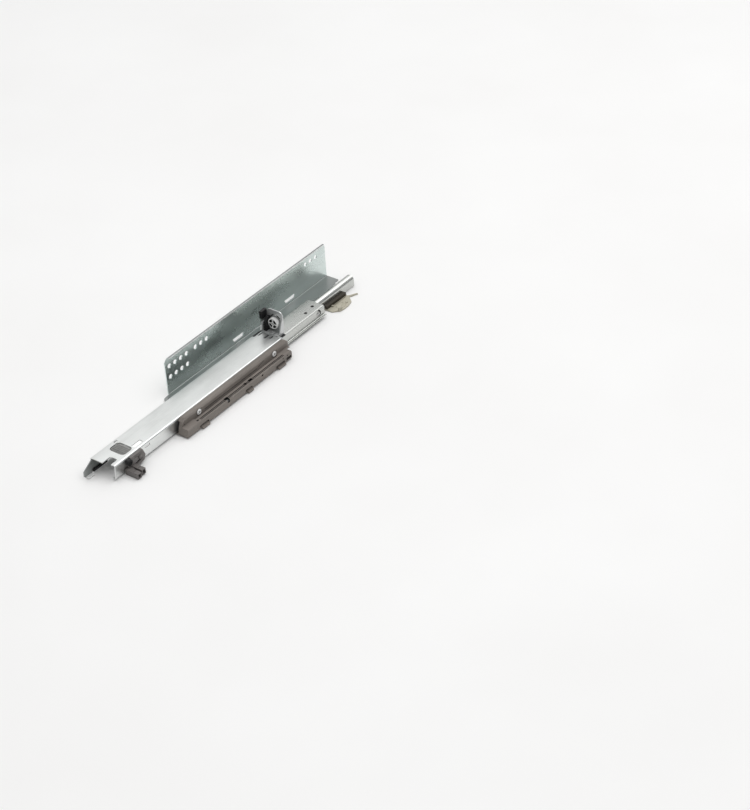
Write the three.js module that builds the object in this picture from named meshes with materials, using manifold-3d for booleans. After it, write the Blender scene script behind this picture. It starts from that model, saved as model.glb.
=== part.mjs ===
// Undermount drawer runner with soft closing, left-hand side of a pair.
//
// Millimetres, +Z up. While the pieces are drawn, X runs inward from the outer face of the
// cabinet flange, Y runs rearward from the front edge of that flange and Z rises from the
// underside of the cabinet rail. The finished group is then centred on its own footprint.
// The runner is drawn partly open: the drawer rail stands OPEN_AT_REST ahead of the flange.

import * as THREE from 'three';
import { mergeVertices } from 'three/addons/utils/BufferGeometryUtils.js';
import Module from 'manifold-3d';

const wasm = await Module();
wasm.setup();

// ---------------------------------------------------------------- driving dimensions

const RAIL_LENGTH = 300;
const FLANGE_HEIGHT = 48.7;
const SHEET = 1.4;
const THIN_SHEET = 1.2;
const BEND_RADIUS = 0.8;
const RAIL_BEND_STEPS = 5;
const GAP = 0.3;

const OPEN_AT_REST = 156;
const MIDDLE_TRAVEL_SHARE = 0.5;

// Cabinet rail section
const FLANGE_LIP = 3.6;
const HEAD_OUTER_X = 32.3;
const HEAD_INNER_X = 44;
const HEAD_TOP = 14.2;
const HEAD_BEND = 4.4;
const LEDGE_TOP = 7;
const LEDGE_INNER_X = 52;
const TRACK_REAR = 215;

// Intermediate rail section
const MIDDLE_OUTER_X = 29.2;
const MIDDLE_INNER_X = 55;
const MIDDLE_TOP = 16.2;
const MIDDLE_FOOT_X = 57.6;
const MIDDLE_FOOT_Z = 3.6;
const MIDDLE_SKIRT_Z = 3.2;

// Drawer rail section
const DRAWER_OUTER_X = 25.2;
const DRAWER_INNER_X = 59.4;
const DRAWER_TOP = 19.6;
const DRAWER_OUTER_BOTTOM = 5.3;
const DRAWER_INNER_BOTTOM = 1.8;
const DRAWER_LIP_X = 55;

// Lengthwise stations
const DRAWER_FRONT = -OPEN_AT_REST;
const DRAWER_REAR = 150;
const MIDDLE_FRONT = -OPEN_AT_REST * MIDDLE_TRAVEL_SHARE;
const MIDDLE_REAR = 226;

// Roller cages
const ROLLERS_PER_CAGE = 4;
const ROLLER_PITCH = 32;
const OUTER_ROLLER_RADIUS = 3.9;
const INNER_ROLLER_RADIUS = 1;
const ROLLER_SIDES = 20;

// Screw holes of the flange: a 32 mm system line with finer steps between
const HOLE_RADIUS = 2.9;
const TOP_HOLE_HEIGHT = 36.5;
const LOW_HOLE_HEIGHT = 22;
const FRONT_HOLES = [7, 17, 27, 37, 53, 63, 73];
const LOW_HOLES = [7, 17, 27, 37];
const REAR_HOLES = [261, 271, 281];
const REAR_HOLE_HEIGHT = 37.8;

// Soft-close unit
const STRIKER_Y = 242;
const STRIKER_X = 63;
const SPRING_X = 68;
const DAMPER_X = 72.6;
const DAMPER_Z = 5.5;
const RIVET_STATIONS = [-22, 113.6];
const RIVET_RADIUS = 1.7;
const RIVET_Z = 15;

// Release lever
const LEVER_PIN_RADIUS = 1.5;
const LEVER_PIVOT_Y = -118;
const LEVER_PIVOT_Z = 11.5;
const TUBE_WALL = 1;

// ---------------------------------------------------------------- materials

function finish(color, roughness, metalness) {
  return new THREE.MeshStandardMaterial({ color, roughness, metalness });
}

const zinc = finish(0xc9cdcc, 0.34, 0.9);
const brightZinc = finish(0xdfe2e2, 0.24, 0.95);
const springSteel = finish(0x9ba0a2, 0.3, 0.95);
const greyPlastic = finish(0x6f6a66, 0.55, 0);
const leverPlastic = finish(0x55524f, 0.5, 0);
const blackPlastic = finish(0x1e1e20, 0.5, 0);
const beigePlastic = finish(0xc3b78f, 0.5, 0);
const nylon = finish(0xe8e6df, 0.45, 0);

// ---------------------------------------------------------------- shape helpers

const EXTRUDE_BASIS = {
  // plan (y, z), depth along +X
  x: [new THREE.Vector3(0, 1, 0), new THREE.Vector3(0, 0, 1), new THREE.Vector3(1, 0, 0)],
  // plan (x, z), depth along -Y from the far end
  y: [new THREE.Vector3(1, 0, 0), new THREE.Vector3(0, 0, 1), new THREE.Vector3(0, -1, 0)],
  // plan (x, y), depth along +Z
  z: [new THREE.Vector3(1, 0, 0), new THREE.Vector3(0, 1, 0), new THREE.Vector3(0, 0, 1)],
};

function extrude(shape, axis, from, to, curveSegments = 6) {
  const depth = to - from;
  const geometry = new THREE.ExtrudeGeometry(shape, { depth, bevelEnabled: false, curveSegments });
  geometry.applyMatrix4(new THREE.Matrix4().makeBasis(...EXTRUDE_BASIS[axis]));
  const start = axis === 'y' ? to : from;
  const offset = { x: 0, y: 0, z: 0 };
  offset[axis] = start;
  return geometry.translate(offset.x, offset.y, offset.z);
}

function box(x0, x1, y0, y1, z0, z1) {
  const geometry = new THREE.BoxGeometry(x1 - x0, y1 - y0, z1 - z0);
  return geometry.translate((x0 + x1) / 2, (y0 + y1) / 2, (z0 + z1) / 2);
}

function polygon(points) {
  return new THREE.Shape(points.map(([u, v]) => new THREE.Vector2(u, v)));
}

function roundedPlan(u0, v0, u1, v1, radius) {
  const shape = new THREE.Shape();
  shape.moveTo(u0 + radius, v0);
  shape.lineTo(u1 - radius, v0);
  shape.absarc(u1 - radius, v0 + radius, radius, -Math.PI / 2, 0);
  shape.lineTo(u1, v1 - radius);
  shape.absarc(u1 - radius, v1 - radius, radius, 0, Math.PI / 2);
  shape.lineTo(u0 + radius, v1);
  shape.absarc(u0 + radius, v1 - radius, radius, Math.PI / 2, Math.PI);
  shape.lineTo(u0, v0 + radius);
  shape.absarc(u0 + radius, v0 + radius, radius, Math.PI, Math.PI * 1.5);
  return shape;
}

// Rod or disc along an axis, given its radius, the two ends and the two other coordinates.
function rod(axis, radius, from, to, u, v, sides = 16) {
  const geometry = new THREE.CylinderGeometry(radius, radius, to - from, sides);
  const middle = (from + to) / 2;
  if (axis === 'x') {
    geometry.rotateZ(-Math.PI / 2);
    return geometry.translate(middle, u, v);
  }
  if (axis === 'y') {
    return geometry.translate(u, middle, v);
  }
  geometry.rotateX(Math.PI / 2);
  return geometry.translate(u, v, middle);
}

// Turned piece: profile of [radius, height] pairs, its axis laid along +Y.
function turned(profile, x, z, sides = 16) {
  const geometry = new THREE.LatheGeometry(profile.map(([r, h]) => new THREE.Vector2(r, h)), sides);
  return geometry.translate(x, 0, z);
}

// Closed outline of a bent sheet that follows a centre line with rounded bends. A point of
// the path may carry its own inner bend radius as a third number.
function bentSheet(path, thickness, innerRadius = BEND_RADIUS, steps = 3) {
  const centreLine = path.map(([u, v]) => new THREE.Vector2(u, v));
  const left = [];
  const right = [];
  const half = thickness / 2;
  const addPair = (position, along) => {
    const normal = new THREE.Vector2(-along.y, along.x).multiplyScalar(half);
    left.push(position.clone().add(normal));
    right.push(position.clone().sub(normal));
  };
  centreLine.forEach((point, i) => {
    const before = i > 0 ? point.clone().sub(centreLine[i - 1]).normalize() : null;
    const after = i < path.length - 1 ? centreLine[i + 1].clone().sub(point).normalize() : null;
    if (!before || !after) {
      addPair(point, before ?? after);
      return;
    }
    const bendRadius = (path[i][2] ?? innerRadius) + half;
    const angle = Math.atan2(before.cross(after), before.dot(after));
    const side = Math.sign(angle);
    const setback = bendRadius * Math.tan(Math.abs(angle) / 2);
    const start = point.clone().addScaledVector(before, -setback);
    const toCentre = new THREE.Vector2(-before.y, before.x).multiplyScalar(side * bendRadius);
    const centre = start.clone().add(toCentre);
    for (let k = 0; k <= steps; k += 1) {
      const turn = (angle * k) / steps;
      const along = before.clone().rotateAround(new THREE.Vector2(), turn);
      const outward = new THREE.Vector2(along.y, -along.x).multiplyScalar(side * bendRadius);
      addPair(centre.clone().add(outward), along);
    }
  });
  return new THREE.Shape([...left, ...right.reverse()]);
}

function toSolid(geometry) {
  const bare = geometry.clone();
  bare.deleteAttribute('normal');
  bare.deleteAttribute('uv');
  const merged = mergeVertices(bare, 1e-4);
  const vertProperties = Float32Array.from(merged.attributes.position.array);
  const triVerts = Uint32Array.from(merged.index.array);
  return new wasm.Manifold(new wasm.Mesh({ numProp: 3, vertProperties, triVerts }));
}

function toGeometry(solid) {
  const mesh = solid.getMesh();
  const geometry = new THREE.BufferGeometry();
  geometry.setAttribute('position', new THREE.BufferAttribute(Float32Array.from(mesh.vertProperties), 3));
  geometry.setIndex(new THREE.BufferAttribute(Uint32Array.from(mesh.triVerts), 1));
  geometry.computeVertexNormals();
  return geometry;
}

function join(...geometries) {
  return toGeometry(geometries.map(toSolid).reduce((sum, next) => sum.add(next)));
}

function cut(body, ...tools) {
  return toGeometry(tools.map(toSolid).reduce((rest, tool) => rest.subtract(tool), toSolid(body)));
}

const runner = new THREE.Group();
runner.name = 'drawer_runner';

function piece(name, geometry, material) {
  const mesh = new THREE.Mesh(geometry, material);
  mesh.name = name;
  runner.add(mesh);
  return mesh;
}

// ---------------------------------------------------------------- cabinet rail

const PLATE_MIDDLE = SHEET / 2;
const SLOT_CUT_DEPTH = 6;

// Parallelogram punched through the flange close to its foot.
function flangeSlot(front) {
  const slot = polygon([[front, 9.6], [front + 3, 4.4], [front + 19, 4.4], [front + 21, 9.6]]);
  return extrude(slot, 'x', -SLOT_CUT_DEPTH / 2, SLOT_CUT_DEPTH / 2);
}

function flangeHole(y, z) {
  return rod('x', HOLE_RADIUS, -SLOT_CUT_DEPTH / 2, SLOT_CUT_DEPTH / 2, y, z, 14);
}

function cabinetRail() {
  const section = bentSheet(
    [
      [FLANGE_LIP, FLANGE_HEIGHT - PLATE_MIDDLE],
      [PLATE_MIDDLE, FLANGE_HEIGHT - PLATE_MIDDLE],
      [PLATE_MIDDLE, PLATE_MIDDLE],
      [HEAD_OUTER_X + PLATE_MIDDLE, PLATE_MIDDLE],
      [HEAD_OUTER_X + PLATE_MIDDLE, HEAD_TOP - PLATE_MIDDLE, HEAD_BEND],
      [HEAD_INNER_X - PLATE_MIDDLE, HEAD_TOP - PLATE_MIDDLE, HEAD_BEND],
      [HEAD_INNER_X - PLATE_MIDDLE, GAP],
    ],
    SHEET,
    BEND_RADIUS,
    RAIL_BEND_STEPS,
  );
  const rail = extrude(section, 'y', 0, RAIL_LENGTH);

  const frontPlate = new THREE.Shape();
  frontPlate.moveTo(BEND_RADIUS + SHEET, 1);
  frontPlate.lineTo(BEND_RADIUS + SHEET, -7);
  frontPlate.absarc(7, -7.5, 4.5, Math.PI, Math.PI * 1.65);
  frontPlate.lineTo(14, -9);
  frontPlate.lineTo(24, -8);
  frontPlate.lineTo(26, 1);
  const solid = join(rail, extrude(frontPlate, 'z', 0, SHEET));

  const cornerBevel = polygon([[-1, 42], [-1, 50], [7, 50]]);
  const rearBevel = polygon([[RAIL_LENGTH + 1, 45], [RAIL_LENGTH + 1, 50], [RAIL_LENGTH - 5, 50]]);
  return cut(
    solid,
    ...FRONT_HOLES.map((y) => flangeHole(y, TOP_HOLE_HEIGHT)),
    ...LOW_HOLES.map((y) => flangeHole(y, LOW_HOLE_HEIGHT)),
    ...REAR_HOLES.map((y) => flangeHole(y, REAR_HOLE_HEIGHT)),
    flangeSlot(117),
    flangeSlot(216),
    extrude(cornerBevel, 'x', -1, 5),
    extrude(rearBevel, 'x', -1, 5),
    rod('z', 1.7, -1, 3, 8, -6.6, 12),
    box(22.4, 24.4, 272, 291, -1, 3),
    box(19.5, 31, RAIL_LENGTH - 9, RAIL_LENGTH + 1, -1, 3),
  );
}

piece('cabinet_rail', cabinetRail(), zinc);

// Angle strip on the inner side of the rail head: the outer rollers run on its ledge.
const TRACK_MIDDLE = THIN_SHEET / 2;
const TRACK_FRONT = 8;
const trackSection = bentSheet(
  [
    [HEAD_INNER_X + GAP + TRACK_MIDDLE, 1.6],
    [HEAD_INNER_X + GAP + TRACK_MIDDLE, LEDGE_TOP - TRACK_MIDDLE],
    [LEDGE_INNER_X - TRACK_MIDDLE, LEDGE_TOP - TRACK_MIDDLE],
    [LEDGE_INNER_X - TRACK_MIDDLE, MIDDLE_FOOT_Z],
  ],
  THIN_SHEET,
);
piece('roller_track', extrude(trackSection, 'y', TRACK_FRONT, TRACK_REAR), zinc);

// Moulded plate at the rear of the rail: it reaches in under the drawer rail and carries the
// lug that the soft-close catch takes hold of.
const LUG_TOP = 5.5;
function strikerPlate() {
  const root = HEAD_INNER_X + GAP;
  const outline = polygon([
    [root, STRIKER_Y - 5],
    [57.5, STRIKER_Y - 4.4],
    [64.6, STRIKER_Y + 3],
    [65.6, STRIKER_Y + 9],
    [65.4, STRIKER_Y + 18],
    [63, STRIKER_Y + 26.5],
    [54.6, STRIKER_Y + 33.4],
    [59.4, STRIKER_Y + 44.6],
    [58, STRIKER_Y + 45.4],
    [51.6, STRIKER_Y + 34.4],
    [root, STRIKER_Y + 35],
  ]);
  const bar = box(root, 49.6, STRIKER_Y - 4, STRIKER_Y + 34, 0, 5.4);
  const lug = box(STRIKER_X - 0.8, STRIKER_X + 0.8, STRIKER_Y + 1, STRIKER_Y + 7, SHEET / 2, LUG_TOP);
  const rib = box(root, 52.4, STRIKER_Y + 4, STRIKER_Y + 6, 0, 3);
  return join(extrude(outline, 'z', 0, SHEET), bar, lug, rib);
}
piece('striker_plate', strikerPlate(), beigePlastic);

// Buffer strips on the outer side of the rail head: the front one meets the opening runner,
// the rear one meets the closing runner.
function railBuffer(front, rear) {
  return box(HEAD_OUTER_X - 1.3, HEAD_OUTER_X - GAP, front, rear, 3, 8);
}
piece('front_buffer', railBuffer(3, 15), blackPlastic);
piece('rear_buffer', railBuffer(280, 292), blackPlastic);

// ---------------------------------------------------------------- roller cages

// Ladder strip with one pocket for each roller.
function rollerCage(x0, x1, z0, z1, front, rollerRadius, rollerX0, rollerX1) {
  const length = ROLLER_PITCH * (ROLLERS_PER_CAGE - 1) + 24;
  const strip = extrude(roundedPlan(x0, front, x1, front + length, 1.5), 'z', z0, z1, 3);
  const pockets = [];
  for (let i = 0; i < ROLLERS_PER_CAGE; i += 1) {
    const y = front + 12 + i * ROLLER_PITCH;
    pockets.push(
      box(rollerX0 - GAP, rollerX1 + GAP, y - rollerRadius - GAP, y + rollerRadius + GAP, z0 - 1, z1 + 1),
    );
  }
  return cut(strip, ...pockets);
}

function cageRollers(prefix, x0, x1, z, front, radius) {
  for (let i = 0; i < ROLLERS_PER_CAGE; i += 1) {
    const y = front + 12 + i * ROLLER_PITCH;
    piece(`${prefix}_${i + 1}`, rod('x', radius, x0, x1, y, z, ROLLER_SIDES), nylon);
  }
}

const OUTER_CAGE_FRONT = 50;
const OUTER_ROLLER_Z = (LEDGE_TOP + MIDDLE_TOP - THIN_SHEET) / 2;
piece(
  'outer_roller_cage',
  rollerCage(HEAD_INNER_X + 0.4, 53.2, 9.9, 12.1, OUTER_CAGE_FRONT, OUTER_ROLLER_RADIUS, 45.7, 50.7),
  beigePlastic,
);
cageRollers('outer_roller', 45.7, 50.7, OUTER_ROLLER_Z, OUTER_CAGE_FRONT, OUTER_ROLLER_RADIUS);

const INNER_CAGE_FRONT = -24;
const INNER_ROLLER_Z = (MIDDLE_TOP + DRAWER_TOP - THIN_SHEET) / 2;
piece(
  'inner_roller_cage',
  rollerCage(30.8, 53, 16.6, 18, INNER_CAGE_FRONT, INNER_ROLLER_RADIUS, 36, 48),
  beigePlastic,
);
cageRollers('inner_roller', 36, 48, INNER_ROLLER_Z, INNER_CAGE_FRONT, INNER_ROLLER_RADIUS);

// ---------------------------------------------------------------- intermediate rail

const THIN_MIDDLE = THIN_SHEET / 2;

function intermediateRail() {
  const section = bentSheet(
    [
      [MIDDLE_OUTER_X + THIN_MIDDLE, MIDDLE_SKIRT_Z],
      [MIDDLE_OUTER_X + THIN_MIDDLE, MIDDLE_TOP - THIN_MIDDLE],
      [MIDDLE_INNER_X - THIN_MIDDLE, MIDDLE_TOP - THIN_MIDDLE],
      [MIDDLE_INNER_X - THIN_MIDDLE, MIDDLE_FOOT_Z + THIN_MIDDLE],
      [MIDDLE_FOOT_X, MIDDLE_FOOT_Z + THIN_MIDDLE],
    ],
    THIN_SHEET,
  );
  return cut(
    extrude(section, 'y', MIDDLE_FRONT, MIDDLE_REAR),
    rod('z', 2.1, MIDDLE_TOP - 3, MIDDLE_TOP + 1, 46.6, 200.5, 12),
    rod('z', 2.1, MIDDLE_TOP - 3, MIDDLE_TOP + 1, 44.2, 216.5, 12),
    rod('x', 4.2, MIDDLE_INNER_X - 3, MIDDLE_INNER_X + 1, 214.8, 11, 18),
  );
}
piece('intermediate_rail', intermediateRail(), zinc);

// Buffers fitted inside both ends of the intermediate rail.
function middleBuffer(front, rear) {
  const inset = THIN_SHEET + GAP;
  return box(HEAD_INNER_X + 0.6, MIDDLE_INNER_X - inset, front, rear, 9.4, MIDDLE_TOP - inset);
}
piece('intermediate_front_buffer', middleBuffer(MIDDLE_FRONT + 0.5, MIDDLE_FRONT + 8), greyPlastic);
piece('intermediate_rear_buffer', middleBuffer(MIDDLE_REAR - 6.5, MIDDLE_REAR - 0.5), blackPlastic);

// ---------------------------------------------------------------- drawer rail

const DEEP_FRONT_LENGTH = 44;
const INNER_FRONT = DRAWER_FRONT + 3;
const HOOK_SEAT_FRONT = 137.6;
const HOOK_SEAT_DEPTH = 0.35;

function drawerRail() {
  const section = bentSheet(
    [
      [DRAWER_OUTER_X + THIN_MIDDLE, DRAWER_OUTER_BOTTOM],
      [DRAWER_OUTER_X + THIN_MIDDLE, DRAWER_TOP - THIN_MIDDLE],
      [DRAWER_INNER_X - THIN_MIDDLE, DRAWER_TOP - THIN_MIDDLE],
      [DRAWER_INNER_X - THIN_MIDDLE, DRAWER_INNER_BOTTOM + THIN_MIDDLE],
      [DRAWER_LIP_X, DRAWER_INNER_BOTTOM + THIN_MIDDLE],
    ],
    THIN_SHEET,
  );
  const deepWall = polygon([
    [DRAWER_FRONT, DRAWER_INNER_BOTTOM],
    [DRAWER_FRONT + DEEP_FRONT_LENGTH, DRAWER_INNER_BOTTOM],
    [DRAWER_FRONT + DEEP_FRONT_LENGTH + 8, DRAWER_OUTER_BOTTOM + 1],
    [DRAWER_FRONT, DRAWER_OUTER_BOTTOM + 1],
  ]);
  const solid = join(
    extrude(section, 'y', DRAWER_FRONT, DRAWER_REAR),
    extrude(deepWall, 'x', DRAWER_OUTER_X, DRAWER_OUTER_X + THIN_SHEET),
  );
  const innerFrontCut = polygon([
    [DRAWER_FRONT - 2, -1],
    [DRAWER_FRONT + 0.6, -1],
    [INNER_FRONT, DRAWER_TOP - 1],
    [INNER_FRONT, DRAWER_TOP + 1],
    [DRAWER_FRONT - 2, DRAWER_TOP + 1],
  ]);
  const topHole = (x0, y0, x1, y1, radius) =>
    extrude(roundedPlan(x0, y0, x1, y1, radius), 'z', DRAWER_TOP - 4, DRAWER_TOP + 1, 3);
  const outerWindow = (y0, y1, z0, z1) => box(DRAWER_OUTER_X - 1, DRAWER_OUTER_X + 2, y0, y1, z0, z1);
  const wallHole = (radius, y, z) =>
    rod('x', radius + GAP, DRAWER_INNER_X - 2, DRAWER_INNER_X + 1, y, z, 12);
  return cut(
    solid,
    // front notch, catch window and the two clearance slots beside it
    extrude(innerFrontCut, 'x', DRAWER_LIP_X - 2, DRAWER_INNER_X + 1),
    topHole(43.5, DRAWER_FRONT - 4, 53.6, DRAWER_FRONT + 13.5, 2.2),
    topHole(32.2, DRAWER_FRONT + 21.5, 54.4, DRAWER_FRONT + 38.5, 1.6),
    topHole(49.6, DRAWER_FRONT + 40, 55, DRAWER_FRONT + 54, 1.4),
    topHole(28.4, DRAWER_FRONT + 34.6, 30.6, DRAWER_FRONT + 39.4, 0.9),
    // two windows in the outer wall behind the catch
    outerWindow(-117.5, -108.5, 12.2, 16.4),
    outerWindow(-117.5, -108.5, 5.4, 9.6),
    // slot in the inner wall behind the release lever
    box(DRAWER_INNER_X - 2, DRAWER_INNER_X + 1, -105, -97, 13.4, 16.4),
    // lanced slots ahead of the rear hook, and the shallow seat that the hook stands in
    topHole(26.6, 128, 28, 136.6, 0.6),
    topHole(41.2, 129.6, 42.6, 136.8, 0.6),
    topHole(47.2, 131.4, 48.4, 136.8, 0.5),
    box(
      DRAWER_OUTER_X - 1,
      DRAWER_INNER_X + 1,
      HOOK_SEAT_FRONT,
      DRAWER_REAR + 1,
      DRAWER_TOP - HOOK_SEAT_DEPTH,
      DRAWER_TOP + 1,
    ),
    // holes for the rivets of the housing and for the lever pin
    ...RIVET_STATIONS.map((y) => wallHole(RIVET_RADIUS, y, RIVET_Z)),
    wallHole(LEVER_PIN_RADIUS, LEVER_PIVOT_Y, LEVER_PIVOT_Z),
    // rear end: the top plate is cut back on the inner side
    box(DRAWER_INNER_X - 5, DRAWER_INNER_X + 1, 141, DRAWER_REAR + 1, 0, DRAWER_TOP + 1),
  );
}

piece('drawer_rail', drawerRail(), zinc);

// Tongue riveted inside the outer wall: it reaches forward and down to a turned-in foot.
const NOSE_FOOT_Z = 1;
function noseGuide() {
  const inner = DRAWER_OUTER_X + THIN_SHEET + GAP;
  const side = polygon([
    [DRAWER_FRONT + 24, 17.8],
    [DRAWER_FRONT - 0.5, 17.8],
    [DRAWER_FRONT - 14.4, 9.2],
    [DRAWER_FRONT - 14.9, 3.4],
    [DRAWER_FRONT - 12.5, NOSE_FOOT_Z],
    [DRAWER_FRONT - 3.5, NOSE_FOOT_Z],
    [DRAWER_FRONT + 1, 3.4],
    [DRAWER_FRONT + 24, 3.4],
  ]);
  return join(
    extrude(side, 'x', inner, inner + 1.2),
    box(inner, inner + 5.2, DRAWER_FRONT - 12.3, DRAWER_FRONT - 3.6, NOSE_FOOT_Z, NOSE_FOOT_Z + 1.2),
  );
}
piece('front_nose', noseGuide(), zinc);

// Ribbed plate in the top window; it yields downward about its rear edge.
const CATCH_FRONT = DRAWER_FRONT + 22.2;
const CATCH_REAR = DRAWER_FRONT + 37.8;
function frontCatch() {
  const ribs = [];
  for (let i = 0; i < 5; i += 1) {
    const y = CATCH_FRONT + 2 + i * 2.6;
    ribs.push(box(34, 52.4, y, y + 1, DRAWER_TOP - 1, DRAWER_TOP - 0.3));
  }
  return join(box(33, 53.6, CATCH_FRONT, CATCH_REAR, DRAWER_TOP - 2.6, DRAWER_TOP - 0.8), ...ribs);
}
piece('front_catch', frontCatch(), greyPlastic);

// Release lever on the inner wall: a pivoted plate with a round thumb boss and two square
// tubes that take the rod which links it to the lever of the other runner.
function releaseLever() {
  const wall = DRAWER_INNER_X + GAP;
  const plate = extrude(
    polygon([
      [-131.6, 17.6],
      [-129.6, 18.2],
      [-112.4, 18.6],
      [-108.8, 9.6],
      [-111.6, 3.4],
      [-118, 1.8],
      [-131.4, 1.8],
    ]),
    'x',
    wall,
    wall + 3.2,
  );
  const thumbBoss = rod('x', 3.9, wall, wall + 4.2, -134.2, 13.6, 20);
  const frontTube = box(wall + 0.6, 78.6, -140, -134.2, 0.4, 7.2);
  const rearTube = box(wall + 0.6, 77.8, -132, -126.2, 1, 7.8);
  const web = box(wall + 0.6, wall + 8, -135, -126.4, 1.4, 6.6);
  const bossWeb = box(wall, wall + 3.2, -136, -128, 5, 14);
  const rimPlan = polygon([[-127, 3.4], [-114, 6.8], [-114.4, 8], [-127.4, 4.6]]);
  const rim = extrude(rimPlan, 'x', wall, wall + 4.1);
  return cut(
    join(plate, thumbBoss, frontTube, rearTube, web, bossWeb, rim),
    box(68, 80, -140 + TUBE_WALL, -134.2 - TUBE_WALL, 0.4 + TUBE_WALL, 7.2 - TUBE_WALL),
    box(68, 80, -132 + TUBE_WALL, -126.2 - TUBE_WALL, 1 + TUBE_WALL, 7.8 - TUBE_WALL),
    rod('x', LEVER_PIN_RADIUS + GAP, wall - 1, wall + 8, LEVER_PIVOT_Y, LEVER_PIVOT_Z, 12),
  );
}
piece('release_lever', releaseLever(), leverPlastic);
piece(
  'lever_pin',
  join(
    rod('x', LEVER_PIN_RADIUS, DRAWER_INNER_X - 2.2, DRAWER_INNER_X + 4.2, LEVER_PIVOT_Y, LEVER_PIVOT_Z, 12),
    rod('x', 2.4, DRAWER_INNER_X + 4, DRAWER_INNER_X + 5, LEVER_PIVOT_Y, LEVER_PIVOT_Z, 12),
  ),
  leverPlastic,
);

// ---------------------------------------------------------------- soft-close unit

const HOUSING_WALL_X = DRAWER_INNER_X + GAP;
const HOUSING_STEP_X = 67;
const HOUSING_FLARE_X = 70;
const HOUSING_EDGE_X = 76.6;
const HOUSING_BOTTOM = 1.8;
const LEDGE_HEIGHT = 10.8;
const HOUSING_TOP = 19.3;
const HOUSING_FRONT = -54.2;
const HOUSING_REAR = 139.6;
const LEDGE_REAR = 134.2;

const HOUSING_WALL = 1.2;
const CHAMBER_FRONT = HOUSING_FRONT + 4;
const CHAMBER_REAR = LEDGE_REAR - 1.5;
const CLIPS = [[-30.5, 12.5], [51, 9], [107, 13]];
const FLOOR_TOP = HOUSING_BOTTOM + 1.2;

function damperHousing() {
  const section = polygon([
    [HOUSING_WALL_X, HOUSING_BOTTOM],
    [HOUSING_EDGE_X, HOUSING_BOTTOM],
    [HOUSING_EDGE_X, LEDGE_HEIGHT - 0.8],
    [HOUSING_EDGE_X - 0.8, LEDGE_HEIGHT],
    [HOUSING_FLARE_X, LEDGE_HEIGHT],
    [HOUSING_STEP_X, LEDGE_HEIGHT + 0.6],
    [HOUSING_STEP_X, HOUSING_TOP - 1.6],
    [HOUSING_STEP_X - 1.6, HOUSING_TOP],
    [HOUSING_WALL_X, HOUSING_TOP],
  ]);
  const chamber = box(
    HOUSING_WALL_X + HOUSING_WALL,
    HOUSING_EDGE_X - HOUSING_WALL,
    CHAMBER_FRONT,
    CHAMBER_REAR,
    0,
    LEDGE_HEIGHT - HOUSING_WALL - 1,
  );
  const doorTop = LUG_TOP + 0.7;
  const strikerDoor = box(STRIKER_X - 1.4, STRIKER_X + 1.4, CHAMBER_REAR - 1, LEDGE_REAR + 1, 0, doorTop);
  const slopedFront = polygon([
    [HOUSING_FRONT - 2, 0],
    [HOUSING_FRONT, HOUSING_BOTTOM],
    [HOUSING_FRONT + 2, LEDGE_HEIGHT],
    [HOUSING_FRONT + 5, HOUSING_TOP - 3],
    [HOUSING_FRONT + 10, HOUSING_TOP + 0.2],
    [HOUSING_FRONT + 10, HOUSING_TOP + 2],
    [HOUSING_FRONT - 2, HOUSING_TOP + 2],
  ]);
  const innerLimit = HOUSING_WALL_X - 1;
  const outerLimit = HOUSING_EDGE_X + 1;
  const belowRearLobe = box(innerLimit, outerLimit, LEDGE_REAR, HOUSING_REAR + 1, 0, LEDGE_HEIGHT);
  const topRear = polygon([
    [HOUSING_REAR + 1, HOUSING_TOP - 2.5],
    [HOUSING_REAR + 1, HOUSING_TOP + 1],
    [HOUSING_REAR - 2.5, HOUSING_TOP + 1],
  ]);
  const above = LEDGE_HEIGHT + 1;
  const ledgeGroove = box(HOUSING_FLARE_X + 2, HOUSING_EDGE_X - 1.6, -28, 122, LEDGE_HEIGHT - 0.7, above);
  const ledgeWindow = (y0, y1, x0, z0) => box(x0, outerLimit, y0, y1, z0, above);
  const wallWindow = (y0, y1, z0, z1) => box(HOUSING_EDGE_X - 2, outerLimit, y0, y1, z0, z1);
  const rivetHole = (y) => rod('x', RIVET_RADIUS + GAP, innerLimit, HOUSING_EDGE_X, y, RIVET_Z, 12);
  return cut(
    extrude(section, 'y', HOUSING_FRONT, HOUSING_REAR),
    chamber,
    strikerDoor,
    extrude(slopedFront, 'x', innerLimit, outerLimit),
    belowRearLobe,
    extrude(topRear, 'x', innerLimit, outerLimit),
    ledgeGroove,
    ledgeWindow(16.5, 20.5, 73.2, 7),
    box(71.6, 73.6, -33, -29.6, LEDGE_HEIGHT - 0.8, above),
    wallWindow(78, 81, 7.2, 9.2),
    wallWindow(124, 132.4, 3.2, 6.2),
    ...CLIPS.map(([y, length]) => wallWindow(y - GAP, y + length + GAP, 0, 3.4)),
    ...RIVET_STATIONS.map(rivetHole),
  );
}
piece('damper_housing', damperHousing(), greyPlastic);

// Each rivet has a flat tail inside the drawer rail and a broad round head on the housing.
const RIVET_HEAD_RADIUS = 3.5;
RIVET_STATIONS.forEach((y, i) => {
  const head = rod('x', RIVET_HEAD_RADIUS, HOUSING_STEP_X + GAP, HOUSING_STEP_X + 1.3, y, RIVET_Z, 20);
  const shank = rod('x', RIVET_RADIUS, DRAWER_INNER_X - 2.2, HOUSING_STEP_X + 0.6, y, RIVET_Z, 12);
  const tail = rod('x', 2.6, DRAWER_INNER_X - 2.4, DRAWER_INNER_X - 1.5, y, RIVET_Z, 12);
  piece(`housing_rivet_${i + 1}`, join(head, shank, tail), brightZinc);
});

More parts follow.
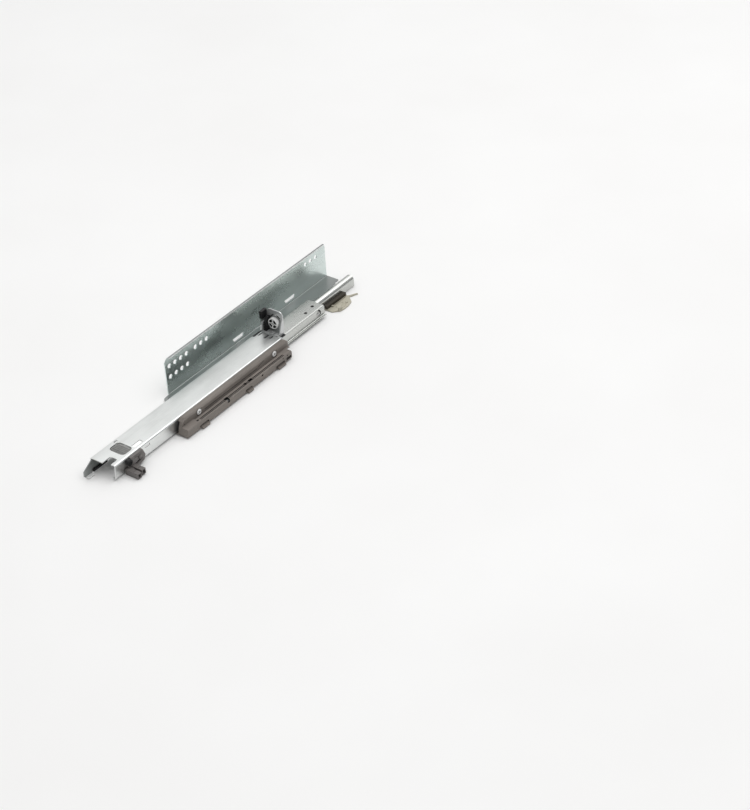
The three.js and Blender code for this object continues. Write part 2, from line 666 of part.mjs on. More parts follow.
// Hydraulic damper: a blind cylinder, and a piston on its rod.
const CATCH_Y = 126;
const CYLINDER_FRONT = -42;
const CYLINDER_REAR = 58;
piece(
  'damper_cylinder',
  turned(
    [
      [0, CYLINDER_FRONT],
      [2.1, CYLINDER_FRONT],
      [2.1, CYLINDER_REAR],
      [1, CYLINDER_REAR],
      [1, CYLINDER_REAR - 2],
      [1.5, CYLINDER_REAR - 2],
      [1.5, CYLINDER_FRONT + 2],
      [0, CYLINDER_FRONT + 2],
    ],
    DAMPER_X,
    DAMPER_Z,
    12,
  ),
  springSteel,
);
piece(
  'damper_piston',
  turned(
    [
      [0, CYLINDER_REAR - 12],
      [1.3, CYLINDER_REAR - 12],
      [1.3, CYLINDER_REAR - 6],
      [0.7, CYLINDER_REAR - 6],
      [0.7, CATCH_Y - 4.3],
      [0, CATCH_Y - 4.3],
    ],
    DAMPER_X,
    DAMPER_Z,
    12,
  ),
  brightZinc,
);

// Slider that takes hold of the striker's lug; its claw stands clear of the lug's way.
function catchSlider() {
  const front = CATCH_Y - 4;
  const rear = CATCH_Y + 4;
  const bridge = box(61.4, 74.3, front, rear, 6.6, 8.1);
  const claw = box(61.6, 64.4, front, front + 2, 6, 7);
  const springFoot = box(66.6, 69.5, front, rear, 3.5, 7);
  const rodFoot = box(70.9, 74.3, front, rear, 3.5, 7);
  return join(bridge, claw, springFoot, rodFoot);
}
piece('catch_slider', catchSlider(), blackPlastic);

// Closing spring between the front wall of the housing and the slider.
const SPRING_COILS = 26;
const SPRING_RADIUS = 1.05;
const WIRE_RADIUS = 0.28;
const SPRING_Z = 5.1;
function closingSpring() {
  const front = CHAMBER_FRONT + 2.6;
  const rear = CATCH_Y - 4 - GAP;
  class Helix extends THREE.Curve {
    getPoint(t, target = new THREE.Vector3()) {
      const angle = t * SPRING_COILS * Math.PI * 2;
      const x = Math.cos(angle) * SPRING_RADIUS;
      const z = Math.sin(angle) * SPRING_RADIUS;
      return target.set(x, THREE.MathUtils.lerp(front, rear, t), z);
    }
  }
  const wire = new THREE.Shape();
  wire.absarc(0, 0, WIRE_RADIUS, 0, Math.PI * 2);
  const geometry = new THREE.ExtrudeGeometry(wire, {
    steps: SPRING_COILS * 8,
    curveSegments: 3,
    bevelEnabled: false,
    extrudePath: new Helix(),
  });
  return geometry.translate(SPRING_X, 0, SPRING_Z);
}
piece('closing_spring', closingSpring(), springSteel);
piece(
  'spring_anchor',
  box(SPRING_X - 1.7, SPRING_X + 1.7, CHAMBER_FRONT + 0.4, CHAMBER_FRONT + 2.1, 3.4, 7),
  springSteel,
);

// Floor of the housing: slotted for the striker, with clips that snap through the outer wall.
function housingFloor() {
  const plate = box(
    HOUSING_WALL_X + HOUSING_WALL + GAP,
    HOUSING_EDGE_X - HOUSING_WALL - GAP,
    CHAMBER_FRONT + GAP,
    CHAMBER_REAR - GAP,
    HOUSING_BOTTOM,
    FLOOR_TOP,
  );
  const clips = CLIPS.map(([y, length]) =>
    box(HOUSING_EDGE_X - 3, HOUSING_EDGE_X + 2.6, y, y + length, HOUSING_BOTTOM - 1, FLOOR_TOP));
  const strikerSlot = box(STRIKER_X - 1.4, STRIKER_X + 1.4, 70, HOUSING_REAR, 0, FLOOR_TOP + 1);
  return cut(join(plate, ...clips), strikerSlot);
}
piece('housing_floor', housingFloor(), greyPlastic);

// ---------------------------------------------------------------- rear hook and tilt adjuster

const HOOK_Y = 150.6;
const HOOK_FOOT_Z = DRAWER_TOP - 0.05;
const HOOK_SHEET = 1.4;
const HOOK_TOP = 47;
const WHEEL_X = 43.5;
const WHEEL_Z = 32;
const WHEEL_RADIUS = 7;

// Bent plate: a foot, an upright hood with rounded shoulders and two side cheeks.
function hookBracket() {
  const front = HOOK_Y - HOOK_SHEET;
  const foot = box(30.6, 53.6, HOOK_Y - 12, HOOK_Y, HOOK_FOOT_Z, HOOK_FOOT_Z + HOOK_SHEET);
  const hood = extrude(roundedPlan(30.6, HOOK_FOOT_Z, 54, HOOK_TOP, 5.5), 'y', front, HOOK_Y, 4);
  const hoodFoot = box(30.6, 54, front, HOOK_Y, HOOK_FOOT_Z, HOOK_FOOT_Z + 8);
  const innerCheek = polygon([
    [HOOK_Y, HOOK_FOOT_Z],
    [HOOK_Y, 42],
    [HOOK_Y - 3.6, 35],
    [HOOK_Y - 7.4, 25],
    [HOOK_Y - 9, HOOK_FOOT_Z],
  ]);
  const outerCheek = polygon([
    [HOOK_Y, HOOK_FOOT_Z],
    [HOOK_Y, 34.5],
    [HOOK_Y - 12, 33],
    [HOOK_Y - 12.8, 31],
    [HOOK_Y - 12.8, HOOK_FOOT_Z],
  ]);
  const bracket = join(
    foot,
    hood,
    hoodFoot,
    extrude(innerCheek, 'x', 54 - HOOK_SHEET, 54),
    extrude(outerCheek, 'x', 30.6, 30.6 + HOOK_SHEET),
  );
  return cut(bracket, rod('y', 2.4, HOOK_Y - 6, HOOK_Y + 1, WHEEL_X, WHEEL_Z, 12));
}
piece('hook_bracket', hookBracket(), springSteel);

piece(
  'tilt_wheel',
  turned(
    [
      [0, HOOK_Y - 7.6],
      [WHEEL_RADIUS - 1, HOOK_Y - 7.6],
      [WHEEL_RADIUS, HOOK_Y - 6.8],
      [WHEEL_RADIUS, HOOK_Y - 3.4],
      [WHEEL_RADIUS - 1, HOOK_Y - 2.6],
      [1.9, HOOK_Y - 2.6],
      [1.9, HOOK_Y + 0.8],
      [0, HOOK_Y + 0.8],
    ],
    WHEEL_X,
    WHEEL_Z,
    20,
  ),
  brightZinc,
);

// Plastic tip that centres the hook in the drawer's back panel.
piece(
  'hook_block',
  join(
    box(26.4, 30.2, HOOK_Y - 10.6, HOOK_Y - 0.4, 35.6, 45.4),
    box(26.8, 29.8, HOOK_Y - 9.6, HOOK_Y - 1.6, HOOK_FOOT_Z, 36),
  ),
  blackPlastic,
);

// ---------------------------------------------------------------- placing

const extents = new THREE.Box3().setFromObject(runner);
const footprint = extents.getCenter(new THREE.Vector3());
runner.position.set(-footprint.x, -footprint.y, -extents.min.z);
runner.updateMatrixWorld(true);

export default runner;
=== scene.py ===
"""Undermount drawer slide, partly open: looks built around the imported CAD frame."""

import math

import bmesh
import bpy
from mathutils import Matrix, Vector


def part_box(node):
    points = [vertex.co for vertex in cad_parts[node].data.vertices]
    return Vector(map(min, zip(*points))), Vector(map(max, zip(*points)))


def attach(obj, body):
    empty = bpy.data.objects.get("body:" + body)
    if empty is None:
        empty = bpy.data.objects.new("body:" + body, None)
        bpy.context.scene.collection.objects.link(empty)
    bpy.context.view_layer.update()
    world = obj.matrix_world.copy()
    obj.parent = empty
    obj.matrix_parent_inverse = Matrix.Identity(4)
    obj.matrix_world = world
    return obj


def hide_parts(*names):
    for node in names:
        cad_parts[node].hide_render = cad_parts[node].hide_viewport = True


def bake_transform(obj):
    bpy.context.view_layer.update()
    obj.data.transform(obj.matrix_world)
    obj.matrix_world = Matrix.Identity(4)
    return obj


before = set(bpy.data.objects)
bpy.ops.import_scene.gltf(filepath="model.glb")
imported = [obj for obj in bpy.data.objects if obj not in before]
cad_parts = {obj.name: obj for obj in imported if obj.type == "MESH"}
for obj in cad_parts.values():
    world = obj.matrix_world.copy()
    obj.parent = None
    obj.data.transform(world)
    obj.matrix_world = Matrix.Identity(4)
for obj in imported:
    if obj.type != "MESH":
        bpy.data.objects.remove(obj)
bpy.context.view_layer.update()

MM = 0.001
RAIL_LENGTH = 300
RAIL_LOW, RAIL_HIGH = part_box("cabinet_rail")
# Slide frame in millimetres: X inward from the flange, Y rearward from its front edge, Z up.
ORIGIN = Vector((RAIL_LOW.x, RAIL_HIGH.y - RAIL_LENGTH * MM, RAIL_LOW.z))
SCENE = bpy.context.scene
RANGE_INPUTS = ("From Min", "From Max", "To Min", "To Max")


def at(x, y, z):
    return ORIGIN + Vector((x, y, z)) * MM


def slide_box(node):
    """Lowest and highest corner of a CAD node in the slide frame, in millimetres."""
    low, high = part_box(node)
    return (low - ORIGIN) / MM, (high - ORIGIN) / MM


# ---------------------------------------------------------------- mesh helpers

def rectangle(u0, v0, u1, v1):
    return [(u0, v0), (u1, v0), (u1, v1), (u0, v1)]


def circle(u, v, radius, steps=24):
    turns = [2 * math.pi * i / steps for i in range(steps)]
    return [(u + radius * math.cos(t), v + radius * math.sin(t)) for t in turns]


def rounded(u0, v0, u1, v1, radius, steps=5):
    points = []
    corners = [(u1, v1, 0), (u0, v1, 1), (u0, v0, 2), (u1, v0, 3)]
    for u, v, quarter in corners:
        cu = u - radius if u == u1 else u + radius
        cv = v - radius if v == v1 else v + radius
        for i in range(steps + 1):
            turn = math.pi / 2 * (quarter + i / steps)
            points.append((cu + radius * math.cos(turn), cv + radius * math.sin(turn)))
    return points


def ring_sector(u, v, inner, outer, start, end, steps=10):
    """Outline of a curved slot about (u, v), between two radii and two angles in degrees."""
    angles = [math.radians(start + (end - start) * i / steps) for i in range(steps + 1)]
    far = [(u + outer * math.cos(a), v + outer * math.sin(a)) for a in angles]
    near = [(u + inner * math.cos(a), v + inner * math.sin(a)) for a in reversed(angles)]
    return far + near


def place(axis, u, v, w):
    """Point with w along the axis and (u, v) across it, in the order (y, z), (x, z) or (x, y)."""
    if axis == "x":
        return at(w, u, v)
    if axis == "y":
        return at(u, w, v)
    return at(u, v, w)


def prism(outline, axis, start, end):
    bm = bmesh.new()
    low = [bm.verts.new(place(axis, u, v, start)) for u, v in outline]
    high = [bm.verts.new(place(axis, u, v, end)) for u, v in outline]
    bm.faces.new(low)
    bm.faces.new(high)
    for i in range(len(outline)):
        bm.faces.new((low[i - 1], low[i], high[i], high[i - 1]))
    bmesh.ops.recalc_face_normals(bm, faces=bm.faces)
    return bm


def block(x0, x1, y0, y1, z0, z1):
    return prism(rectangle(x0, y0, x1, y1), "z", z0, z1)


def turned(profile, axis, u, v, steps=32):
    """Closed solid of revolution: profile of (radius, place along the axis), both ends on the axis."""
    bm = bmesh.new()
    rings = []
    for radius, w in profile:
        if radius == 0:
            rings.append([bm.verts.new(place(axis, u, v, w))])
        else:
            rings.append([bm.verts.new(place(axis, a, b, w)) for a, b in circle(u, v, radius, steps)])
    for lower, upper in zip(rings, rings[1:]):
        for i in range(steps):
            corners = [lower[i % len(lower)], lower[(i + 1) % len(lower)]]
            corners += [upper[(i + 1) % len(upper)], upper[i % len(upper)]]
            bm.faces.new(list(dict.fromkeys(corners)))
    bmesh.ops.recalc_face_normals(bm, faces=bm.faces)
    return bm


def to_object(name, *solids):
    """One object holding every solid given, as separate shells."""
    whole = bmesh.new()
    for solid in solids:
        part = bpy.data.meshes.new(name + "_part")
        solid.to_mesh(part)
        solid.free()
        whole.from_mesh(part)
        bpy.data.meshes.remove(part)
    mesh = bpy.data.meshes.new(name)
    whole.to_mesh(mesh)
    whole.free()
    obj = bpy.data.objects.new(name, mesh)
    SCENE.collection.objects.link(obj)
    return obj


def combine(obj, solids, operation):
    """Boolean of the object with solids that may touch one another, applied to its mesh."""
    if not solids:
        return obj
    tool = to_object("tool", *solids)
    boolean = obj.modifiers.new("combine", "BOOLEAN")
    boolean.object = tool
    boolean.operation = operation
    boolean.solver = "EXACT"
    boolean.use_self = True
    graph = bpy.context.evaluated_depsgraph_get()
    mesh = bpy.data.meshes.new_from_object(obj.evaluated_get(graph))
    obj.modifiers.clear()
    old = obj.data
    obj.data = mesh
    bpy.data.meshes.remove(old)
    bpy.data.objects.remove(tool)
    return obj


def copy_of(node):
    """New object with the CAD node's mesh, its flat faces merged."""
    bm = bmesh.new()
    bm.from_mesh(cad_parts[node].data)
    bmesh.ops.remove_doubles(bm, verts=bm.verts, dist=1e-6)
    mesh = bpy.data.meshes.new(node + "_look")
    bm.to_mesh(mesh)
    bm.free()
    obj = bpy.data.objects.new(node + "_look", mesh)
    SCENE.collection.objects.link(obj)
    return obj


def finish_piece(obj, body, slot, materials, bevel=0.2, segments=2, nodes=(), smooth=35):
    """Clean mesh, soft edges, material, and the body that the piece rides on, if it is only one."""
    bm = bmesh.new()
    bm.from_mesh(obj.data)
    bmesh.ops.remove_doubles(bm, verts=bm.verts, dist=2e-6)
    bmesh.ops.dissolve_limit(bm, angle_limit=math.radians(0.6), verts=bm.verts, edges=bm.edges)
    bmesh.ops.recalc_face_normals(bm, faces=bm.faces)
    for face in bm.faces:
        face.smooth = True
    bm.to_mesh(obj.data)
    bm.free()
    obj.data.set_sharp_from_angle(angle=math.radians(smooth))
    obj.data.materials.clear()
    for entry in materials if isinstance(materials, (list, tuple)) else [materials]:
        obj.data.materials.append(entry)
    if bevel:
        edge = obj.modifiers.new("edge", "BEVEL")
        edge.width = bevel * MM
        edge.segments = segments
        edge.limit_method = "ANGLE"
        edge.angle_limit = math.radians(smooth)
        normals = obj.modifiers.new("normals", "WEIGHTED_NORMAL")
        normals.keep_sharp = True
    if body:
        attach(obj, body)
    if nodes:
        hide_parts(*nodes)
    return obj


# ---------------------------------------------------------------- materials

class Graph:
    """Small helper that adds and links shader nodes of one material."""

    def __init__(self, name):
        self.material = bpy.data.materials.new(name)
        self.material.use_nodes = True
        self.tree = self.material.node_tree
        self.shader = self.tree.nodes["Principled BSDF"]
        self.coordinates = self.add("ShaderNodeTexCoord").outputs["Object"]

    def add(self, kind, **values):
        node = self.tree.nodes.new(kind)
        for key, value in values.items():
            setattr(node, key, value)
        return node

    def link(self, source, target):
        self.tree.links.new(source, target)

    def stretched(self, scale):
        mapping = self.add("ShaderNodeMapping")
        mapping.inputs["Scale"].default_value = scale
        self.link(self.coordinates, mapping.inputs["Vector"])
        return mapping.outputs["Vector"]

    def noise(self, scale, detail=4, stretch=None, roughness=0.55):
        node = self.add("ShaderNodeTexNoise")
        node.inputs["Scale"].default_value = scale
        node.inputs["Detail"].default_value = detail
        node.inputs["Roughness"].default_value = roughness
        self.link(self.stretched(stretch) if stretch else self.coordinates, node.inputs["Vector"])
        return node.outputs["Fac"]

    def cells(self, scale):
        node = self.add("ShaderNodeTexVoronoi")
        node.inputs["Scale"].default_value = scale
        self.link(self.coordinates, node.inputs["Vector"])
        split = self.add("ShaderNodeSeparateColor")
        self.link(node.outputs["Color"], split.inputs["Color"])
        return split.outputs["Red"]

    def span(self, value, low, high, new_low, new_high):
        node = self.add("ShaderNodeMapRange")
        for name, number in zip(RANGE_INPUTS, (low, high, new_low, new_high)):
            node.inputs[name].default_value = number
        self.link(value, node.inputs["Value"])
        return node.outputs["Result"]

    def math(self, operation, first, second):
        node = self.add("ShaderNodeMath", operation=operation)
        for socket, value in zip(node.inputs, (first, second)):
            if isinstance(value, (int, float)):
                socket.default_value = value
            else:
                self.link(value, socket)
        return node.outputs["Value"]

    def ramp(self, value, *stops):
        node = self.add("ShaderNodeValToRGB")
        while len(node.color_ramp.elements) < len(stops):
            node.color_ramp.elements.new(0.5)
        for element, (position, color) in zip(node.color_ramp.elements, stops):
            element.position = position
            element.color = (*color, 1)
        self.link(value, node.inputs["Fac"])
        return node.outputs["Color"]

    def bump(self, height, strength, distance):
        node = self.add("ShaderNodeBump")
        node.inputs["Strength"].default_value = strength
        node.inputs["Distance"].default_value = distance
        self.link(height, node.inputs["Height"])
        self.link(node.outputs["Normal"], self.shader.inputs["Normal"])


def tint(color, factor):
    return tuple(min(1.0, c * factor) for c in color)


def sheet_metal(name, color, roughness=(0.26, 0.4), metallic=0.95, lines=1.0):
    """Zinc-plated sheet: rolling lines along the length, faint spangle and cloudy patches."""
    g = Graph(name)
    rolling = g.noise(1, 3, stretch=(1100, 9, 1100))
    clouds = g.noise(38, 5, stretch=(1, 0.4, 1))
    spangle = g.cells(620)
    mixed = g.math("ADD", g.math("MULTIPLY", rolling, 0.22 * lines), g.math("MULTIPLY", clouds, 0.75))
    mixed = g.math("ADD", mixed, g.math("MULTIPLY", spangle, 0.03))
    g.link(
        g.ramp(mixed, (0.3, tint(color, 0.84)), (0.5, color), (0.72, tint(color, 1.1))),
        g.shader.inputs["Base Color"],
    )
    wear = g.math("ADD", g.math("MULTIPLY", clouds, 0.95), g.math("MULTIPLY", spangle, 0.05))
    g.link(g.span(wear, 0.25, 0.75, *roughness), g.shader.inputs["Roughness"])
    g.bump(g.math("ADD", rolling, clouds), 0.03 * lines, 0.00005)
    g.shader.inputs["Metallic"].default_value = metallic
    return g.material


def moulded(name, color, roughness=(0.42, 0.6), grain=2600, sheen=0.35):
    """Moulded plastic: spark-eroded grain, flow clouds and specks."""
    g = Graph(name)
    clouds = g.noise(70, 5, stretch=(1, 0.3, 1))
    specks = g.noise(900, 2)
    fine = g.noise(grain, 2)
    mixed = g.math("ADD", g.math("MULTIPLY", clouds, 0.7), g.math("MULTIPLY", specks, 0.3))
    g.link(
        g.ramp(mixed, (0.32, tint(color, 0.78)), (0.5, color), (0.7, tint(color, 1.22))),
        g.shader.inputs["Base Color"],
    )
    g.link(g.span(mixed, 0.3, 0.7, *roughness), g.shader.inputs["Roughness"])
    g.bump(fine, 0.25, 0.00008)
    g.shader.inputs["Specular IOR Level"].default_value = sheen
    return g.material


ZINC = sheet_metal("zinc_sheet", (0.67, 0.745, 0.725), roughness=(0.22, 0.34))
ZINC_TOP = sheet_metal("zinc_sheet_satin", (0.77, 0.785, 0.775), roughness=(0.26, 0.36))
ZINC_MIDDLE = sheet_metal("zinc_sheet_middle", (0.57, 0.58, 0.56), roughness=(0.2, 0.32))
# Dark copy of the zinc sheet, mostly painted shade: rail base, lip top, nose and rivet holes; also the
# hook's stem.
ZINC_DULL_SHADE = sheet_metal("zinc_sheet_dull_painted_shade", (0.33, 0.345, 0.34), roughness=(0.26, 0.38))
# Near-white zinc for cut edges, also a painted highlight on the lip edge, the nose foot and small tabs.
CUT_EDGE_HIGHLIGHT = sheet_metal("zinc_cut_edge_painted_highlight", (0.93, 0.935, 0.93), roughness=(0.4, 0.5), metallic=0.35)
WHITE_ZINC = sheet_metal("white_zinc", (0.88, 0.88, 0.87), roughness=(0.32, 0.42), metallic=0.3, lines=0.4)
BRIGHT = sheet_metal("bright_zinc", (0.93, 0.935, 0.93), roughness=(0.16, 0.26), metallic=1.0, lines=0.4)
STEEL = sheet_metal("spring_steel", (0.60, 0.61, 0.61), roughness=(0.24, 0.36), metallic=0.6, lines=0.6)
GREY = moulded("grey_plastic", (0.205, 0.182, 0.163))
LEVER = moulded("lever_plastic", (0.155, 0.143, 0.138), roughness=(0.3, 0.45))
BLACK = moulded("black_plastic", (0.012, 0.012, 0.013), roughness=(0.38, 0.55))
BROWN_SHADE = moulded("brown_painted_shade", (0.030, 0.024, 0.015), roughness=(0.35, 0.5))
CATCH = moulded("catch_plastic", (0.26, 0.26, 0.252), roughness=(0.34, 0.46))
BEIGE = moulded("beige_plastic", (0.44, 0.415, 0.335), roughness=(0.34, 0.5), grain=1800)
NYLON = moulded("roller_nylon", (0.76, 0.75, 0.70), roughness=(0.25, 0.35), grain=1400)


# ---------------------------------------------------------------- shaping a CAD node

PROUD = 1.0  # how far a cutting tool stands out of the face that it cuts


def refined(node, body, slot, material, bevel=0.2, add=(), cut=(), **options):
    """The CAD node's own shape with detail added and cut, standing for that node."""
    obj = copy_of(node)
    combine(obj, list(add), "UNION")
    combine(obj, list(cut), "DIFFERENCE")
    return finish_piece(obj, body, slot, material, bevel, nodes=(node,), **options)


def extra(name, solid, slot, material, bevel, body="drawer_rail"):
    """A small piece that no CAD node stands for."""
    return finish_piece(to_object(name, solid), body, slot, material, bevel)


def paint(obj, index, test):
    """Gives faces whose middle passes the test, in the slide frame, another of the piece's materials."""
    for face in obj.data.polygons:
        middle = (face.center - ORIGIN) / MM
        if test(middle, face.normal):
            face.material_index = index


def middle_of(low, high):
    return (low + high) / 2


# ---------------------------------------------------------------- cabinet and middle rails

def make_cabinet_rail():
    lip_depth = 1.3
    head_width = 11.9
    base_height, base_width = 4.5, 26
    rail = refined(
        "cabinet_rail", "cabinet_rail", "zinc_sheet", [ZINC, CUT_EDGE_HIGHLIGHT, ZINC_MIDDLE, ZINC_DULL_SHADE], 0.22
    )
    width = (RAIL_HIGH.x - RAIL_LOW.x) / MM
    lip = (RAIL_HIGH.z - RAIL_LOW.z) / MM - lip_depth
    # The lip's free edge is painted near-white: a painted highlight line.
    paint(rail, 1, lambda p, n: p.z > lip and n.x > 0.9)
    # The head takes the darker middle-rail zinc: painted shade against its bright reflection.
    paint(rail, 2, lambda p, n: p.x > width - head_width)
    # The base plate and the lip's top are painted dark: painted shade.
    paint(rail, 3, lambda p, n: p.z < base_height and p.x < base_width)
    paint(rail, 3, lambda p, n: p.z > lip and n.z > 0.5)
    refined("roller_track", "cabinet_rail", "zinc_sheet", ZINC, 0.2)


def make_middle_rail():
    refined("intermediate_rail", "intermediate_rail", "zinc_sheet", ZINC_MIDDLE, 0.2)


# ---------------------------------------------------------------- drawer rail

# Slots lanced in the top plate ahead of the hook: outer and inner edge, front and rear end.
LANCED_SLOTS = (
    (26.6, 29.6, 123.4, 139.8),
    (30.9, 32.7, 128.6, 137.2),
    (40.4, 42.8, 128.0, 137.2),
    (46.4, 48.8, 130.4, 137.2),
)


def make_drawer_rail():
    """Top profile: its catch window is filled and cut again with round corners, then the slots."""
    top = slide_box("drawer_rail")[1].z
    window_front, window_rear = -134.4, -117.6
    margin = 1
    patch = block(31.4, 55.2, window_front - margin, window_rear + margin, top - 1.2, top)
    cuts = [prism(rounded(32.2, window_front, 54.4, window_rear, 4.6), "z", top - 3, top + PROUD)]
    for x0, x1, y0, y1 in LANCED_SLOTS:
        cuts.append(prism(rounded(x0, y0, x1, y1, 0.8), "z", top - 1.4, top + PROUD))
    refined("drawer_rail", "drawer_rail", "zinc_sheet", ZINC_TOP, 0.25, add=[patch], cut=cuts)


def make_drawer_rail_details():
    # Thin black plate under the lanced slots: painted shade seen through them.
    slot_shade_plate = prism(rounded(26.8, 122.6, 57.6, 149.4, 2), "z", 18.02, 18.34)
    extra("slot_shade_plate", slot_shade_plate, "black_plastic", BLACK, 0.08)
    # Tab in the slot, near-white as a painted highlight.
    tab = [(49.9, 18.45), (54.7, 17.9), (54.7, 18.5), (49.9, 19.05)]
    extra("lanced_tab", prism(tab, "y", -115.7, -102.3), "zinc_sheet", CUT_EDGE_HIGHLIGHT, 0.12)
    # Nose in dark zinc as painted shade, its foot near-white as a painted highlight.
    nose = refined("front_nose", "drawer_rail", "zinc_sheet", [ZINC_DULL_SHADE, CUT_EDGE_HIGHLIGHT], 0.2)
    foot_top = 2.3
    paint(nose, 1, lambda p, n: p.z < foot_top)
    # Black strip inside the nose: painted shade of the outer wall's bottom.
    shade_strip = [(-157.4, 2.6), (-156.6, 2.0), (-134.6, 2.0), (-134.6, 5.6), (-157.4, 5.6)]
    extra("nose_painted_shade", prism(shade_strip, "x", 28.1, 29.1), "black_plastic", BLACK, 0.2)
    wall_tab = [(-104.6, 13.7), (-97.4, 13.7), (-97.4, 16.1), (-104.6, 16.1)]
    extra("wall_tab", prism(wall_tab, "x", 58.3, 59.1), "zinc_sheet", CUT_EDGE_HIGHLIGHT, 0.2)


# ---------------------------------------------------------------- striker, buffers and rollers

def make_striker():
    """Beige moulding with slots and two engraved arcs, dark brown along its outer side as painted shade.
    """
    front = slide_box("striker_plate")[0].y
    above = 3
    arc_x, arc_y = 52, front + 17
    shade_edge = 49.8
    slots = [
        prism(rounded(59.6, front + 22, 60.9, front + 28, 0.5), "z", 0.5, above),
        prism(rounded(54.4, front + 10.6, 56.4, front + 12, 0.5), "z", 0.5, above),
        prism(rounded(50.6, front + 14, 51.6, front + 36, 0.4), "z", 0.6, above),
    ]
    arcs = [
        prism(ring_sector(arc_x, arc_y, inner, outer, start, end), "z", 0.9, above)
        for inner, outer, start, end in ((10.4, 11.3, -38, 62), (6.6, 7.4, -20, 70))
    ]
    striker = refined(
        "striker_plate", "cabinet_rail", "beige_plastic", [BEIGE, BROWN_SHADE], 0.2, cut=slots + arcs
    )
    # The outer side beside the arch wall is painted dark brown: painted shade.
    paint(striker, 1, lambda p, n: p.x < shade_edge)


def make_buffers():
    refined("front_buffer", "cabinet_rail", "black_plastic", BLACK, 0.25)
    refined("rear_buffer", "cabinet_rail", "black_plastic", BLACK, 0.25)
    refined("intermediate_front_buffer", "intermediate_rail", "grey_plastic", GREY, 0.4)
    # This buffer is black as painted shade: it is seen through the rail's D-shaped hole.
    refined("intermediate_rear_buffer", "intermediate_rail", "black_plastic", BLACK, 0.4)


def make_hole_shades():
    """Two small black cups in holes of the middle rail, a little below its highest point: painted shade
    that darkens the holes.
    """
    sunk = 1.3
    top = slide_box("intermediate_rail")[1].z - sunk
    cup = [(0, top - 0.5), (2.7, top - 0.5), (2.7, top), (1.6, top), (1.2, top - 0.3), (0, top - 0.3)]
    for name, x, y in (("hole_shade_1", 46.6, 200.5), ("hole_shade_2", 44.2, 216.5)):
        extra(name, turned(cup, "z", x, y, 20), "black_plastic", BLACK, 0, "intermediate_rail")


def make_roller(node):
    """Roller with softened rims and a shallow ring turned into its outer end."""
    low, high = slide_box(node)
    radius = (high.z - low.z) / 2
    soft = radius * 0.12
    profile = [
        (0, low.x),
        (radius * 0.55, low.x),
        (radius * 0.6, low.x + soft),
        (radius * 0.75, low.x + soft),
        (radius * 0.8, low.x),
        (radius - soft, low.x),
        (radius, low.x + soft),
        (radius, high.x - soft),
        (radius - soft, high.x),
        (0, high.x),
    ]
    solid = turned(profile, "x", middle_of(low.y, high.y), middle_of(low.z, high.z))
    finish_piece(
        to_object(node + "_look", solid), node + "_body", "roller_nylon", NYLON, 0, nodes=(node,)
    )


def make_roller_cages():
    for kind in ("outer", "inner"):
        cage = f"{kind}_roller_cage"
        refined(cage, cage, "beige_plastic", BEIGE, 0.15)
        for number in range(1, 5):
            make_roller(f"{kind}_roller_{number}")


# ---------------------------------------------------------------- front catch and release lever

def corner_waste(u, v, side_u, side_v, radius, start):
    """Outline of what rounding off the corner at (u, v) takes away."""
    cu, cv = u - side_u * radius, v - side_v * radius
    angles = [math.radians(start + 90 * i / 6) for i in range(7)]
    arc = [(cu + radius * math.cos(a), cv + radius * math.sin(a)) for a in angles]
    far_u, far_v = u + side_u, v + side_v
    first, last = ((a, far_v) if abs(b - v) < 0.01 else (far_u, b) for a, b in (arc[0], arc[-1]))
    return [first] + arc + [last, (far_u, far_v)]


def make_front_catch():
    """Grey moulding in the window: ribs from front to rear, rims, three dimples and round corners."""
    low, high = slide_box("front_catch")
    top = high.z
    outer_edge, inner_edge = 33, 53.6
    dimples = [
        prism(circle(36 + 3.2 * i, low.y + 1.0, 0.7, 12), "z", top - 1.6, top + PROUD) for i in range(3)
    ]
    ribs = [
        block(34.6 + 1.5 * i, 35.1 + 1.5 * i, low.y + 3, high.y - 2.2, top - 0.8, top - 0.02)
        for i in range(12)
    ]
    rims = [
        block(x0, x1, low.y + 1.6, high.y - 1, top - 1, top - 0.05)
        for x0, x1 in ((33.4, 34.2), (52.6, 53.3))
    ]
    corners = [
        prism(corner_waste(u, v, side_u, side_v, 4.0, start), "z", low.z - PROUD, top + PROUD)
        for u, v, side_u, side_v, start in (
            (outer_edge, low.y, -1, -1, 180),
            (inner_edge, low.y, 1, -1, 270),
            (inner_edge, high.y, 1, 1, 0),
            (outer_edge, high.y, -1, 1, 90),
        )
    ]
    refined(
        "front_catch", "front_catch", "grey_plastic", CATCH, 0.12, add=ribs + rims, cut=dimples + corners
    )


def make_release_lever():
    """Lever with two grip lines, a dimpled thumb boss, a slanting slot and a groove over each tube."""
    low = slide_box("release_lever")[0]
    face = low.x + 3.2
    boss_y, boss_z = -134.2, 13.6
    slot = [(-127.4, 4.9), (-115.0, 8.0), (-115.4, 10.0), (-128, 7.3)]
    cuts = [
        block(face - 0.5, face + PROUD, -126.8, -113.2, 14.2, 14.8),
        block(face - 0.5, face + PROUD, -126.8, -113.6, 16.2, 16.6),
        prism(circle(boss_y, boss_z, 2.2, 20), "x", face + 0.4, face + 3),
        prism(slot, "x", face - 2.4, face + 3),
        block(71, 72, -140.5, -133.6, 6.6, 8),
        block(71, 72, -132.5, -125.6, 7.2, 9),
    ]
    lever = refined("release_lever", "release_lever", "lever_plastic", [LEVER, BLACK], 0.3, cut=cuts)

    def on_boss(p, n):
        return math.hypot(p.y - boss_y, p.z - boss_z) < 4.1 and p.x > low.x + 0.5

    def in_tube(p, n):
        return 67 < p.x < 70 and 0.8 < p.z < 7.2 and abs(n.x) > 0.9

    def in_slot(p, n):
        return face - 2.6 < p.x < face - 0.2 and -128.2 < p.y < -114.9 and 4.8 < p.z < 10.1

    # The tube mouths and the slanting slot are painted black as painted shade; the boss is black plastic.
    for test in (on_boss, in_tube, in_slot):
        paint(lever, 1, test)


